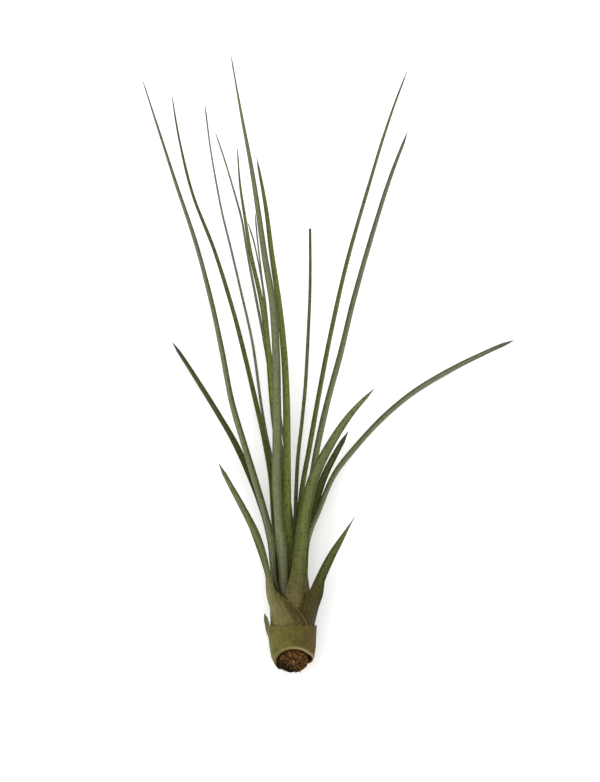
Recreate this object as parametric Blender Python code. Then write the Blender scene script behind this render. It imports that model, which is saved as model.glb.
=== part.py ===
"""Tillandsia juncea, an air plant, lying on its back with its leaves fanned out.

Metres, +Z up. The origin is the middle of the flat spot that the bulb lies on. +Y runs from the broken root
end to the leaf tips and +X to the right, as seen from above. Lengths in the tables below are in millimetres.
"""
import math
from collections import namedtuple

import bpy
from mathutils import Vector

MM = 0.001

# The stem's centre line: an arc that starts at the broken end, which faces up and back, then a straight line.
ROOT_END = Vector((0.0, -14.0, 13.65))
ROOT_END_SLOPE = math.radians(-31)
STEM_SLOPE = math.radians(4)
BEND_RADIUS = 23.0
BEND_LENGTH = BEND_RADIUS * (STEM_SLOPE - ROOT_END_SLOPE)

# (distance along the stem from its broken end, radius)
BULB_OUTLINE = ((0, 7.9), (2, 9.2), (4.5, 10.2), (9, 10.8), (20, 11.2), (32, 11.4), (45, 12.4), (60, 14))
STEM_OUTLINE = ((0, 7.1), (3, 7.0), (12, 6.0), (18, 5.1), (24, 4.1), (30, 3.0), (36, 1.9), (40, 0.9))
# (depth below the broken end, radius) of the rings that make its raised rim, its hollow and its pith
BROKEN_END = ((0.0, 6.2), (1.1, 5.0), (1.3, 3.6), (0.5, 2.2), (0.4, 1.0))

# The sheaths lie one inside the other like the scales of an onion.
SHEATH_WALL = 0.75
BLADE_WALL = 0.7
PRESSED_WALL = 0.6
LAYER_STEP = 1.2
LAYER_FEET = {-1: 1.0, 0: 1.0, 1: 3.5, 2: 7.0, 3: 11.5, 4: 18.0, 5: 25.0, 6: 31.0}
# Where every sheath is measured along the stem, so that nested ones bend at the same places.
SHEATH_STOPS = (1.0, 3.5, 7.0, 11.5, 18.0, 25.0, 31.0)
SWINGING = (18.0, 32.0)
BLADE_FOOT = 40.0
CURLING = (40.0, 72.0)
LEAVING_STEM = (28.0, 42.0)
NEEDLE_RADIUS = 0.4
LEAST_GROOVE = 0.12

# Leaf places are sighted from an eye above the plant: millimetres to the right and up on a sheet that is
# square to the line of sight, from its own zero point on the table, then the height above the table.
SIGHT_SLOPE = math.radians(70)
SIGHT_DISTANCE = 1163.6
SHEET_ZERO = Vector((0.0, -2.5, 0.0))
SHEET_CENTRE = (3.2, 124.4)
SHEET_UP = Vector((0.0, math.sin(SIGHT_SLOPE), math.cos(SIGHT_SLOPE)))
SHEET_RIGHT = Vector((1.0, 0.0, 0.0))
EYE = (
    SHEET_ZERO
    + SHEET_RIGHT * SHEET_CENTRE[0]
    + SHEET_UP * SHEET_CENTRE[1]
    + Vector((0.0, -math.cos(SIGHT_SLOPE), math.sin(SIGHT_SLOPE))) * SIGHT_DISTANCE
)

# How finely a solid is cut: strips across a leaf, at least five and none wider than this angle, and rings.
LEAST_STRIPS = 5
STRIP_ANGLE = 16.0
BLADE_RINGS = 16
NECK_STEP = 4.0
STEM_SIDES = 20
SIGHT_STEPS = 12

# middle: where the sheath's middle lies round the stem, 0 right, 90 up, 180 left, 270 down (degrees)
# wrap: how far the sheath reaches to each side of it (degrees)
# width: the blade's width at its foot; taper: 1 narrows evenly to the tip, less keeps it wide for longer
# curl: how far each half of the blade is rolled (degrees); facing: where its back points (degrees)
# swing: how far the sheath's middle turns from foot to top (degrees)
# shoulder, neck: where the sheath starts to narrow and where it is as narrow as the blade
# leaves: where it leaves the stem; blunt: how much of the blade is missing at its tip, as a share
LEAF_FIELDS = "name layer middle wrap width taper curl facing sights colour swing shoulder neck leaves blunt"
Leaf = namedtuple("Leaf", LEAF_FIELDS, defaults=(0, 26.0, 45.0, 31.0, 0.0))

SILVER = (0.24, 0.27, 0.17)
GREY_GREEN = (0.17, 0.21, 0.09)
GREEN = (0.12, 0.18, 0.05)
OLIVE = (0.10, 0.13, 0.04)
DRY = (0.26, 0.18, 0.09)

LEAVES = (
    Leaf("leaf_short_left", 0, 156, 73, 4.7, 0.28, 80, 130,
         ((-11.0, 23.3, 16.2), (-12.4, 34.5, 18.7), (-15.2, 45.5, 20), (-19.2, 56.7, 22),
          (-24.6, 67.4, 24), (-30.7, 78.7, 26.5), (-36.3, 89.4, 29)), SILVER, 31, 19.0, 46.0, 25.0),
    Leaf("leaf_short_right", 1, 49, 50, 5.3, 0.8, 70, 68,
         ((8.7, 18.4, 18.3), (10.4, 23.6, 18.5), (11.6, 27.5, 18.0), (13.4, 33.5, 17.2),
          (18.8, 44.6, 16.4), (22.8, 51.4, 16.4), (30.0, 63.4, 17.5)), OLIVE, 0, 14.0, 45.0, 18.0),
    Leaf("leaf_broad_front", 2, 83, 42, 7.4, 0.5, 62, 80,
         ((3.3, 42.1, 25.7), (4.9, 59.7, 28.2), (7.2, 72.3, 29), (10.4, 83.0, 31), (18.2, 98.0, 34.5),
          (28.1, 113.1, 38.5), (39.8, 126.1, 43)), GREY_GREEN, 0, 20.0, 50.0),
    Leaf("leaf_long_left", 1, 150, 28, 4.0, 0.48, 100, 140,
         ((-10.0, 38.0, 17.8), (-10.6, 49.9, 17.6), (-12.9, 61.1, 18.5), (-18.7, 81.1, 21),
          (-24.1, 99.6, 23.5), (-30.0, 120.0, 26), (-34.6, 142.9, 28.5), (-40.2, 168.7, 31),
          (-47.5, 196.5, 34), (-58.2, 227.7, 38), (-66.0, 252.0, 41), (-73.3, 275.9, 44)), GREY_GREEN),
    Leaf("leaf_low_left", 1, 216, 36, 4.8, 0.24, 75, 225,
         ((-9.9, 38.0, 6.4), (-11.0, 50.0, 5.4), (-14.5, 65.0, 5.2), (-20.4, 81.1, 5.8),
          (-28.2, 99.1, 6.2), (-36.3, 113.2, 4.9), (-44.1, 125.6, 2.0), (-52.4, 138.3, 0.6),
          (-59.2, 148.3, 0.3)), OLIVE),
    Leaf("leaf_tall_front", 3, 128, 26, 5.7, 0.65, 85, 100,
         ((-5.4, 42.1, 22.0), (-6.8, 59.7, 25.8), (-8.1, 78.7, 29), (-8.2, 95.7, 31.5), (-8.3, 117.6, 34.5),
          (-8.2, 142.9, 38), (-9.5, 165.8, 42), (-14.4, 193.1, 46.5), (-20.7, 233.0, 53), (-26.1, 263.2, 58),
          (-30.5, 287.8, 62)), SILVER),
    Leaf("leaf_arching_right", 2, -14, 25, 3.5, 0.15, 90, 30,
         ((7.4, 28.3, 11.6), (6.4, 38.0, 12.2), (6.5, 47.0, 13.0), (8.2, 56.0, 13.2), (12.2, 66.0, 13),
          (19.7, 83.0, 12.5), (29.5, 95.7, 11), (44.1, 111.8, 8.5), (59.5, 124.9, 5.0), (77.4, 135.6, 2.0),
          (96.2, 144.4, 0.7), (107.4, 149.0, 0.7)), GREY_GREEN, 0, 20.0, 38.0),
    Leaf("leaf_tall_dark", 4, 102, 26, 4.4, 0.35, 95, 70,
         ((-2.7, 49.4, 20), (-3.1, 66.0, 21.5), (-3.1, 90.8, 24), (-3.4, 117.6, 27), (-4.4, 142.9, 30),
          (-6.6, 165.8, 33), (-10.9, 193.1, 37), (-13.9, 214.0, 40), (-18.3, 238.4, 44)), OLIVE),
    Leaf("leaf_long_right_front", 3, 40, 28, 3.8, 0.25, 100, 40,
         ((5.0, 48.0, 19), (6.2, 62.0, 19.5), (8.5, 78.0, 20.5), (10.2, 88.4, 21.5), (11.9, 97.6, 22.5),
          (17.0, 120.0, 24.5), (22.9, 142.4, 27), (29.3, 168.7, 30), (43.4, 217.4, 37), (48.2, 232.1, 39.5),
          (55.5, 251.0, 43)), SILVER),
    Leaf("leaf_short_dark", 3, 307, 16, 5.9, 0.28, 70, 300,
         ((4.9, 44.0, 5.0), (6.9, 57.0, 5.2), (9.3, 65.0, 7), (11.0, 71.3, 7.2), (15.1, 83.0, 7.8),
          (20.2, 93.3, 8.8), (26.8, 104.9, 10)), OLIVE),
    Leaf("leaf_long_left_back", 3, 200, 32, 3.5, 0.4, 100, 215,
         ((-8.2, 45.0, 9.5), (-9.6, 62.0, 9.3), (-11.0, 82.5, 9), (-13.9, 99.1, 9), (-18.7, 120.0, 9.5),
          (-26.1, 151.2, 11), (-30.9, 168.7, 12.5), (-38.7, 193.1, 15), (-48.9, 219.9, 18.5),
          (-55.3, 246.7, 22), (-59.2, 269.1, 26)), GREEN),
    Leaf("leaf_thin_left", 3, 259, 23, 1.6, 0.28, 100, 250,
         ((-5.5, 45.0, 4), (-7.6, 62.0, 3.6), (-9.3, 78.0, 3.2), (-10.5, 92.8, 3), (-12.9, 104.0, 3),
          (-15.8, 120.0, 3), (-20.2, 147.8, 3.2), (-25.1, 170.2, 4), (-30.4, 193.6, 5), (-35.3, 213.5, 6.5),
          (-40.2, 240.3, 9), (-42.9, 264.0, 12)), SILVER),
    Leaf("leaf_long_right", 4, 2, 32, 3.2, 0.33, 100, 35,
         ((1.8, 50.0, 13), (2.4, 62.0, 13), (4.4, 78.2, 13.5), (7.5, 95.7, 14.5), (11.9, 120.0, 16),
          (18.7, 153.6, 18.5), (27.5, 193.1, 22), (39.9, 235.5, 27), (48.2, 260.8, 30.5),
          (55.5, 280.5, 33.5)), GREEN, 0, 22.0, 40.0),
    Leaf("leaf_broken_tip", 4, 286, 24, 2.05, 0.2, 100, 285,
         ((-0.4, 49.4, 7), (0.7, 59.7, 7), (2.2, 91.8, 7.5), (4.1, 110.3, 8), (6.1, 131.7, 8.8),
          (7.8, 168.7, 10.5), (7.8, 203.3, 13)), GREEN, 0, 26.0, 45.0, 31.0, 0.12),
    Leaf("leaf_green_inner", 5, 195, 24, 3.9, 0.5, 100, 250,
         ((-4.9, 48.0, 12.3), (-5.9, 65.0, 12.9), (-7.0, 90.0, 14.5), (-9.5, 115.0, 15.5),
          (-11.0, 132.7, 16.5), (-11.9, 142.9, 17), (-15.3, 165.8, 18.5), (-20.8, 190.7, 20.5),
          (-23.9, 210.6, 22.5), (-26.1, 225.7, 24), (-27.5, 242.8, 26)), GREEN),
    Leaf("leaf_thin_inner_left", 4, 236, 22, 2.0, 0.3, 100, 230,
         ((-5.0, 52.0, 9), (-6.8, 90.0, 9.5), (-10.5, 125.0, 10), (-14.5, 150.0, 11), (-18.6, 172.0, 12),
          (-22.4, 193.1, 13.5), (-25.1, 208.2, 15), (-29.2, 222.3, 17), (-33.8, 236.9, 19),
          (-38.5, 250.6, 21.5)), SILVER),
    Leaf("leaf_thin_inner_grey", 5, 266, 22, 1.35, 0.35, 100, 270,
         ((-2.8, 52.0, 8.6), (-5.0, 90.0, 11.4), (-8.5, 120.0, 12), (-12.0, 150.0, 13), (-13.9, 167.0, 14.5),
          (-15.6, 178.5, 15.5), (-17.5, 196.5, 17), (-18.5, 211.1, 18.5)), SILVER),
    Leaf("leaf_faint_inner", 6, 320, 22, 1.3, 0.35, 100, 280,
         ((0.3, 52.0, 9.8), (-3.2, 85.0, 7), (-7.0, 115.0, 7), (-11.0, 143.0, 7), (-13.4, 159.0, 7.4),
          (-14.9, 173.6, 8), (-17.4, 188.2, 9), (-19.4, 197.5, 10), (-22.2, 206.7, 11)), SILVER),
    Leaf("leaf_pale_inner", 5, 134, 20, 2.2, 0.5, 100, 130,
         ((-5.0, 50.0, 17.0), (-6.8, 65.0, 18.4), (-8.0, 81.1, 20), (-8.5, 105.4, 22.5), (-8.8, 124.9, 24.5),
          (-9.5, 139.5, 26), (-10.5, 151.7, 27.5), (-11.4, 162.4, 29), (-12.9, 175.1, 31),
          (-14.9, 190.7, 33.5)), SILVER),
)

# Sheaths whose blades have gone, or have left a stub. feet: where the two ends of the lower edge lie along
# the stem; torn_edge: where the upper edge lies, at even steps round it; stands_off: how far off the bulb
OldSheath = namedtuple("OldSheath", "name layer middle wrap feet torn_edge stands_off colour")
FLUSH = (0,) * 12
OLD_SHEATHS = (
    OldSheath("old_sheath_right", 0, -12, 61, (1.0, 5.6), (17, 18.5, 19.2, 19.4, 19.4, 19.5, 20, 20, 19),
              (0, 0.1, 0.2, 0.2, 0.1, 0, 0, 0, 0), DRY),
    OldSheath("old_sheath_under", 0, 252, 33, (5.6, 1.0), (27, 29, 31, 33, 30, 29), FLUSH, DRY),
    OldSheath("leaf_stub_left", -1, 126, 96, (1.0, 1.0),
              (12.8, 16, 22, 26, 19, 18, 18, 18, 18, 18.3, 18.6, 18.9),
              (0.3, 1.1, 1.9, 1.7, 0.5, 0, 0, 0, 0, 0, 0, 0), OLIVE),
)
LEAST_TEAR = 0.8


def clear_scene():
    for thing in list(bpy.data.objects):
        bpy.data.objects.remove(thing, do_unlink=True)


def ease(value, start, end):
    """0 before start, 1 after end, and a smooth rise between."""
    share = min(max((value - start) / (end - start), 0.0), 1.0)
    return share * share * (3 - 2 * share)


def mix(a, b, share):
    return a + (b - a) * share


def outline_at(outline, distance):
    """The radius that an outline of (distance, radius) points has at a distance."""
    for (d0, r0), (d1, r1) in zip(outline, outline[1:]):
        if distance <= d1:
            return mix(r0, r1, max(distance - d0, 0.0) / (d1 - d0))
    return outline[-1][1]


def stem_line(distance):
    """(point, direction, upward normal) of the stem's centre line."""
    bent = min(distance, BEND_LENGTH)
    slope = ROOT_END_SLOPE + bent / BEND_RADIUS
    along = Vector((0.0, math.cos(slope), math.sin(slope)))
    up = Vector((0.0, -math.sin(slope), math.cos(slope)))
    y = BEND_RADIUS * (math.sin(slope) - math.sin(ROOT_END_SLOPE))
    z = BEND_RADIUS * (math.cos(ROOT_END_SLOPE) - math.cos(slope))
    return ROOT_END + Vector((0.0, y, z)) + along * (distance - bent), along, up


def outward(angle, up):
    """The direction at an angle round the stem, in degrees."""
    turn = math.radians(angle)
    return SHEET_RIGHT * math.cos(turn) + up * math.sin(turn)


def layer_radius(layer, distance):
    return outline_at(BULB_OUTLINE, distance) - layer * LAYER_STEP


def round_stem(distance, angle, radius):
    """The point at a distance along the stem, an angle round it and a radius from it."""
    centre, _, up = stem_line(distance)
    return centre + outward(angle, up) * radius


def sighted(side, up, height):
    """The point at a height above the table that the eye sees at a place on the sheet."""
    on_sheet = SHEET_ZERO + SHEET_RIGHT * side + SHEET_UP * up
    share = (height - EYE.z) / (on_sheet.z - EYE.z)
    return EYE + (on_sheet - EYE) * share


def along_curve(rows, lengths, distance):
    """The row at a distance along a smooth curve through the given rows, which are equal lists of numbers."""
    i = 0
    while i < len(lengths) - 2 and distance > lengths[i + 1]:
        i += 1
    span = lengths[i + 1] - lengths[i]
    t = (distance - lengths[i]) / span
    p1, p2 = rows[i], rows[i + 1]
    out = []
    for k, (a, b) in enumerate(zip(p1, p2)):
        before = (b - a) / span if i == 0 else (b - rows[i - 1][k]) / (lengths[i + 1] - lengths[i - 1])
        last = i + 2 >= len(rows)
        after = (b - a) / span if last else (rows[i + 2][k] - a) / (lengths[i + 2] - lengths[i])
        t2, t3 = t * t, t * t * t
        value = (2 * t3 - 3 * t2 + 1) * a + (t3 - 2 * t2 + t) * span * before
        value += (3 * t2 - 2 * t3) * b + (t3 - t2) * span * after
        out.append(value)
    return out


def sheath_stops(layer, leaves=SHEATH_STOPS[-1]):
    return [stop for stop in SHEATH_STOPS if LAYER_FEET[layer] <= stop <= leaves]


def leaf_rows(leaf):
    """The (point, outward direction) rows that a leaf's middle line passes, sheath first."""
    rows = []
    for distance in sheath_stops(leaf.layer, leaf.leaves):
        _, _, up = stem_line(distance)
        middle = leaf.middle - leaf.swing * (1 - ease(distance, *SWINGING))
        point = round_stem(distance, middle, layer_radius(leaf.layer, distance))
        rows.append([*point, *outward(middle, up)])
    for i, sight in enumerate(leaf.sights):
        turned = mix(leaf.middle, leaf.facing, ease(i, 0, 3))
        rows.append([*sighted(*sight), *outward(turned, up)])
    return rows


def leaf_section(leaf, distance, length):
    """(curl radius, half angle, wall) of a leaf's cross-section at a distance from the broken end."""
    sheath_radius = layer_radius(leaf.layer, distance)
    gone = min(max((distance - BLADE_FOOT) / (length - BLADE_FOOT), 0.0), 1.0)
    width = leaf.width * (1 - gone * (1 - leaf.blunt)) ** leaf.taper
    half_curl = math.radians(leaf.curl)
    curl_radius = width / 2 / math.sin(min(half_curl, math.pi / 2))
    curled = ease(distance, *CURLING)
    radius = max(mix(sheath_radius, curl_radius, curled), NEEDLE_RADIUS)
    half_arc = mix(width / 2, curl_radius * half_curl, curled)
    spread = sheath_radius * math.radians(leaf.wrap)
    half_arc = mix(spread, half_arc, ease(distance, leaf.shoulder, leaf.neck))
    half_arc = max(half_arc, NEEDLE_RADIUS * half_curl)
    wall = min(mix(SHEATH_WALL, BLADE_WALL, curled), radius - LEAST_GROOVE)
    return radius, half_arc / radius, wall


def seen_middle(radius, half_angle, back, side, across):
    """How far across the line of sight the middle of a leaf's arc, as the eye sees it, lies from its back."""
    seen = []
    for i in range(SIGHT_STEPS + 1):
        turn = mix(-half_angle, half_angle, i / SIGHT_STEPS)
        seen.append((back * (math.cos(turn) - 1) + side * math.sin(turn)).dot(across) * radius)
    return (min(seen) + max(seen)) / 2


def pressed(point, height):
    """The point, or the one above it at this height: what would lie lower is pressed flat by the table."""
    return Vector((point.x, point.y, max(point.z, height)))


def strips_across(wrap):
    return max(LEAST_STRIPS, math.ceil(2 * wrap / STRIP_ANGLE))


def ring(point, back, side, strips, radius, half_angle, wall):
    """Two arcs of points, a leaf's outer face and its inner one, both from the same edge to the other."""
    outer, inner = [], []
    centre = point - back * radius
    for i in range(strips + 1):
        turn = mix(-half_angle, half_angle, i / strips)
        ray = back * math.cos(turn) + side * math.sin(turn)
        outer.append(pressed(centre + ray * radius, 0.0))
        inner.append(pressed(centre + ray * (radius - wall), PRESSED_WALL))
    return outer, inner


def leaf_solid(rings):
    """(points, faces) of the closed solid between the outer and the inner sheet of a leaf."""
    points = []
    for outer, inner in rings:
        points += outer + inner
    strips = len(rings[0][0]) - 1
    row = 2 * (strips + 1)
    inside = strips + 1

    def split(a, b, c, d):
        return [(a, b, c), (a, c, d)]

    faces = []
    for i in range(len(rings) - 1):
        low, high = i * row, (i + 1) * row
        for j in range(strips):
            faces += split(low + j, low + j + 1, high + j + 1, high + j)
            near, far = low + inside + j, high + inside + j
            faces += [(near + 1, near, far + 1), (far + 1, near, far)]
        faces += split(low, high, high + inside, low + inside)
        right = low + strips
        far_right = high + strips
        faces += split(right, right + inside, far_right + inside, far_right)
    last = (len(rings) - 1) * row
    for j in range(strips):
        faces += split(j, inside + j, inside + j + 1, j + 1)
        faces += split(last + j, last + j + 1, last + inside + j + 1, last + inside + j)
    return points, faces


def add_solid(name, points, faces, colour, roughness):
    """An object from points in millimetres."""
    mesh = bpy.data.meshes.new(name)
    mesh.from_pydata([point * MM for point in points], [], faces)
    mesh.validate()
    mesh.update()
    mesh.shade_smooth()
    material = bpy.data.materials.new(name)
    material.use_nodes = True
    shader = material.node_tree.nodes["Principled BSDF"]
    shader.inputs["Base Color"].default_value = (*colour, 1.0)
    shader.inputs["Roughness"].default_value = roughness
    shader.inputs["Metallic"].default_value = 0.0
    mesh.materials.append(material)
    thing = bpy.data.objects.new(name, mesh)
    bpy.context.collection.objects.link(thing)
    return thing


def add_leaf(leaf):
    """One leaf: its sheath round the stem and the channelled blade that grows from it."""
    rows = leaf_rows(leaf)
    lengths = sheath_stops(leaf.layer, leaf.leaves)
    for a, b in list(zip(rows, rows[1:]))[len(lengths) - 1 :]:
        lengths.append(lengths[-1] + (Vector(b[:3]) - Vector(a[:3])).length)
    foot, length = lengths[0], lengths[-1]
    stops = sheath_stops(leaf.layer, leaf.leaves)
    blade_foot = stops[-1] + NECK_STEP
    stops += [mix(blade_foot, length, (i / BLADE_RINGS) ** 1.15) for i in range(BLADE_RINGS + 1)]
    rings = []
    for stop in stops:
        row = along_curve(rows, lengths, stop)
        ahead = Vector(along_curve(rows, lengths, min(stop + 0.5, length))[:3])
        behind = Vector(along_curve(rows, lengths, max(stop - 0.5, foot))[:3])
        along = (ahead - behind).normalized()
        _, stem_along, _ = stem_line(stop)
        along = stem_along.lerp(along, ease(stop, *LEAVING_STEM)).normalized()
        back = Vector(row[3:])
        back = (back - along * back.dot(along)).normalized()
        side = along.cross(back)
        radius, half_angle, wall = leaf_section(leaf, stop, length)
        point = Vector(row[:3])
        across = along.cross(EYE - point).normalized()
        point -= across * seen_middle(radius, half_angle, back, side, across) * ease(stop, *LEAVING_STEM)
        rings.append(ring(point, back, side, strips_across(leaf.wrap), radius, half_angle, wall))
    points, faces = leaf_solid(rings)
    return add_solid(leaf.name, points, faces, leaf.colour, 0.6)


def add_old_sheath(old):
    """A sheath that still wraps part of the bulb, with its upper edge torn."""
    rings = []
    strips = len(old.torn_edge) - 1
    whole = [stop for stop in sheath_stops(old.layer) if stop < min(old.torn_edge) - LEAST_TEAR]
    for i, stop in enumerate([*whole, None]):
        outer, inner = [], []
        for j, (top, off) in enumerate(zip(old.torn_edge, old.stands_off)):
            foot = mix(*old.feet, j / strips)
            distance = max(stop, foot + i * LEAST_TEAR) if stop else top
            angle = old.middle + mix(old.wrap, -old.wrap, j / strips)
            radius = layer_radius(old.layer, distance) + off * ((distance - foot) / (top - foot)) ** 2
            outer.append(pressed(round_stem(distance, angle, radius), 0.0))
            inner.append(pressed(round_stem(distance, angle, radius - SHEATH_WALL), PRESSED_WALL))
        rings.append((outer, inner))
    points, faces = leaf_solid(rings)
    return add_solid(old.name, points, faces, old.colour, 0.8)


def add_stem():
    """The short stem: a tapering core inside the sheaths, with its broken end open to view."""
    rings = [(depth, radius) for depth, radius in reversed(BROKEN_END)] + list(STEM_OUTLINE)
    points = [round_stem(rings[0][0], 0, 0.0)]
    for distance, radius in rings:
        for k in range(STEM_SIDES):
            points.append(round_stem(distance, 360 * k / STEM_SIDES, radius))
    points.append(round_stem(rings[-1][0], 0, 0.0))
    faces = []
    for k in range(STEM_SIDES):
        after = (k + 1) % STEM_SIDES
        faces.append((0, 1 + k, 1 + after))
        for i in range(len(rings) - 1):
            low, high = 1 + i * STEM_SIDES, 1 + (i + 1) * STEM_SIDES
            faces += [(low + k, high + after, low + after), (low + k, high + k, high + after)]
        faces.append((len(points) - 1, high + after, high + k))
    return add_solid("stem", points, faces, DRY, 0.85)


def main():
    clear_scene()
    add_stem()
    for old in OLD_SHEATHS:
        add_old_sheath(old)
    for leaf in LEAVES:
        add_leaf(leaf)


main()
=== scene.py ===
"""Tillandsia juncea, an air plant lying on its back: its leaves, its bulb's torn sheaths and its broken stem.

Tables and sizes are in millimetres, and the meshes in metres.
"""
import math
import random
from collections import namedtuple

import bpy
import numpy as np
from mathutils import Matrix, Vector


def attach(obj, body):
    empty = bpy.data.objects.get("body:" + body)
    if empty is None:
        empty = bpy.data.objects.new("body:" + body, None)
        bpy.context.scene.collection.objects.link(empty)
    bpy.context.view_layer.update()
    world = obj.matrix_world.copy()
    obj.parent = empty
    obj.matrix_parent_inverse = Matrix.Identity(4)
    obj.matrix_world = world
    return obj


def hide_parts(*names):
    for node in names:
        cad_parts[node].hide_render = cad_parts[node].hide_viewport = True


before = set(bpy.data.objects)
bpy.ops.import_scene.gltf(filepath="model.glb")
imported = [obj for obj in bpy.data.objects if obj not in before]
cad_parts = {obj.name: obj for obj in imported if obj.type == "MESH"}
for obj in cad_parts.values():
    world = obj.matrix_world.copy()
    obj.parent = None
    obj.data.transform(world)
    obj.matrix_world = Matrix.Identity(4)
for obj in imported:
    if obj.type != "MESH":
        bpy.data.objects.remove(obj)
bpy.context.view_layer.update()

MM = 0.001

# The stem's centre line: an arc that starts at the broken end, which faces up and back, then a straight line.
ROOT_END = Vector((0.0, -14.0, 13.65))
ROOT_END_SLOPE = math.radians(-31)
STEM_SLOPE = math.radians(4)
BEND_RADIUS = 23.0
BEND_LENGTH = BEND_RADIUS * (STEM_SLOPE - ROOT_END_SLOPE)

# (distance along the stem from its broken end, radius)
BULB_OUTLINE = ((0, 7.9), (2, 9.2), (4.5, 10.2), (9, 10.8), (20, 11.2), (32, 11.4), (45, 12.4), (60, 14))
STEM_OUTLINE = ((0, 7.1), (3, 7.0), (12, 6.0), (18, 5.1), (24, 4.1), (30, 3.0), (36, 1.9), (40, 0.9))
STEM_RADIUS = STEM_OUTLINE[0][1]
STEM_SIDES = 48
# (depth below the broken end, radius) of the rings that make its raised rim, its hollow and its pith
BROKEN_END = ((0.0, 6.2), (1.1, 5.0), (1.3, 3.6), (0.5, 2.2), (0.4, 1.0))

# The sheaths lie one inside the other like the scales of an onion.
LAYER_STEP = 1.2
LAYER_FEET = {-1: 1.0, 0: 1.0, 1: 3.5, 2: 7.0, 3: 11.5, 4: 18.0, 5: 25.0, 6: 31.0}
SHEATH_STOPS = (1.0, 3.5, 7.0, 11.5, 18.0, 25.0, 31.0)
SWINGING = (18.0, 32.0)
BLADE_FOOT = 40.0
CURLING = (40.0, 72.0)
LEAVING_STEM = (28.0, 42.0)

# A blade is thick along its middle and thin at its margins, and ends in a needle.
SHEATH_WALL = 0.75
BLADE_WALL = 0.7
MARGIN_WALL = 0.14
MARGIN_SHARE = 0.45
NEEDLE_RADIUS = 0.4
TIP_RADIUS = 0.08
POINT_LENGTH = 6.0

# How finely a leaf is cut: columns across a narrow and a wide one, and rings along its sheath and its blade.
NARROW_COLUMNS = 24
WIDE_COLUMNS = 60
WIDE_WRAP = 45
SHEATH_RING = 0.7
BLADE_RING = 2.2
SIGHT_STEPS = 12
SHEATH_RINGS_END = SHEATH_STOPS[-1] + 12

# Relief: nerves run the length of a leaf as low ribs, less high where it is narrow, and fade at its margins.
COLUMNS_PER_NERVE = 4
NERVE_HEIGHT = 0.07
NERVE_RADIUS = 2.5
NERVE_FADE = 6

# How far a blade strays from its line once it is free, and its width as a share: (size, wave lengths)
WAVER = 0.25
WAVER_LENGTHS = (17, 31)
FREE = (70, 120)
MARGIN_WAVER = 0.03
MARGIN_WAVER_LENGTH = 5
MARGIN_WAVERING = (12, 40)

# Along a leaf: where its sheath's colour starts to fade, how much further out on each layer, and over how far
SHEATH_COLOUR_END = 30
SHEATH_COLOUR_STEP = 3
SHEATH_COLOUR_FADE = 22

# Leaf places are sighted from an eye above the plant: millimetres to the right and up on a sheet that is
# square to the line of sight, from its own zero point on the table, then the height above the table.
SIGHT_SLOPE = math.radians(70)
SIGHT_DISTANCE = 1163.6
SHEET_ZERO = Vector((0.0, -2.5, 0.0))
SHEET_CENTRE = (3.2, 124.4)
SHEET_UP = Vector((0.0, math.sin(SIGHT_SLOPE), math.cos(SIGHT_SLOPE)))
SHEET_RIGHT = Vector((1.0, 0.0, 0.0))
EYE = (
    SHEET_ZERO
    + SHEET_RIGHT * SHEET_CENTRE[0]
    + SHEET_UP * SHEET_CENTRE[1]
    + Vector((0.0, -math.cos(SIGHT_SLOPE), math.sin(SIGHT_SLOPE))) * SIGHT_DISTANCE
)
LENS = 110.0
SENSOR_HEIGHT = 36.0

# Torn fibres that stand in the stem's broken end, and how it crumbles: (grain, height) of each roughness
FIBRE_COUNT = 150
FIBRE_REACH = 6.3
STRAND_RADIUS = 0.17
STRAND_STEP = 0.45
STRAND_LEAN = 0.09
STRAND_TAPER = (0.95, 0.85, 0.75, 0.5)
HOLLOW = ((0, 0.5), (1.0, 0.5), (2.2, 0.6), (3.6, 1.3), (5.0, 1.15), (6.2, 0.2))
CRUMBLE = ((2.4, 0.8), (0.7, 0.45))

# Pattern scales in millimetres. Streaks are as wide as two nerves, which are about 0.4 apart, and long. The
# silvery scales are about 0.25 apart, drawn 0.5 apart so that they show. Flecks and patches follow the photo.
STREAK_SCALE = (1 / 0.9, 1 / 16, 1)
MOTTLE = 1.4
NERVE_SCALE = (1 / 0.25, 1 / 12, 1)
SCALE_SPACING = 0.5
PATCH = 3.2

# The plant's wax and dead tissue scatter light more than they mirror it.
PLANT_IOR = 1.45
PLANT_SPECULAR = 0.14
# (noise level, colour): the dark rotten tissue, brown fibre and pale torn ends of the broken stem
STEM_TONES = ((0.32, "#170d06"), (0.45, "#3c2410"), (0.57, "#65421f"), (0.7, "#94703f"))
# The fibres' palest straw tones are partly painted highlight, lighter than the dry fibre alone
FIBRE_AND_HIGHLIGHT_TONES = ((0.38, "#2a180b"), (0.5, "#5e3d1b"), (0.6, "#9a743f"), (0.7, "#d0b07e"))
# Where the broken end is darkened to near-black: towards the side it lies on, and how far towards that side
# it starts and is darkest
DARKENED_SIDE = (-0.62, 0.0, -0.78)
DARKENED_REACH = (-10.5, -5.5)

# The studio, with places in millimetres. The floor glows a little, to be as white as the photo's background.
FLOOR_SIZE = 4000
FLOOR_GAP = 0.1
FLOOR_GLOW = 0.22
LIGHT_AIM = (0, 90, 0)
WORLD_LIGHT = 0.95
# (name, place, size, watts)
LIGHTS = (
    ("key_light", (-700, -250, 900), 700, 3.2),
    ("fill_light", (800, 100, 900), 900, 1.2),
    ("back_light", (0, 900, 700), 800, 0.8),
)

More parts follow.
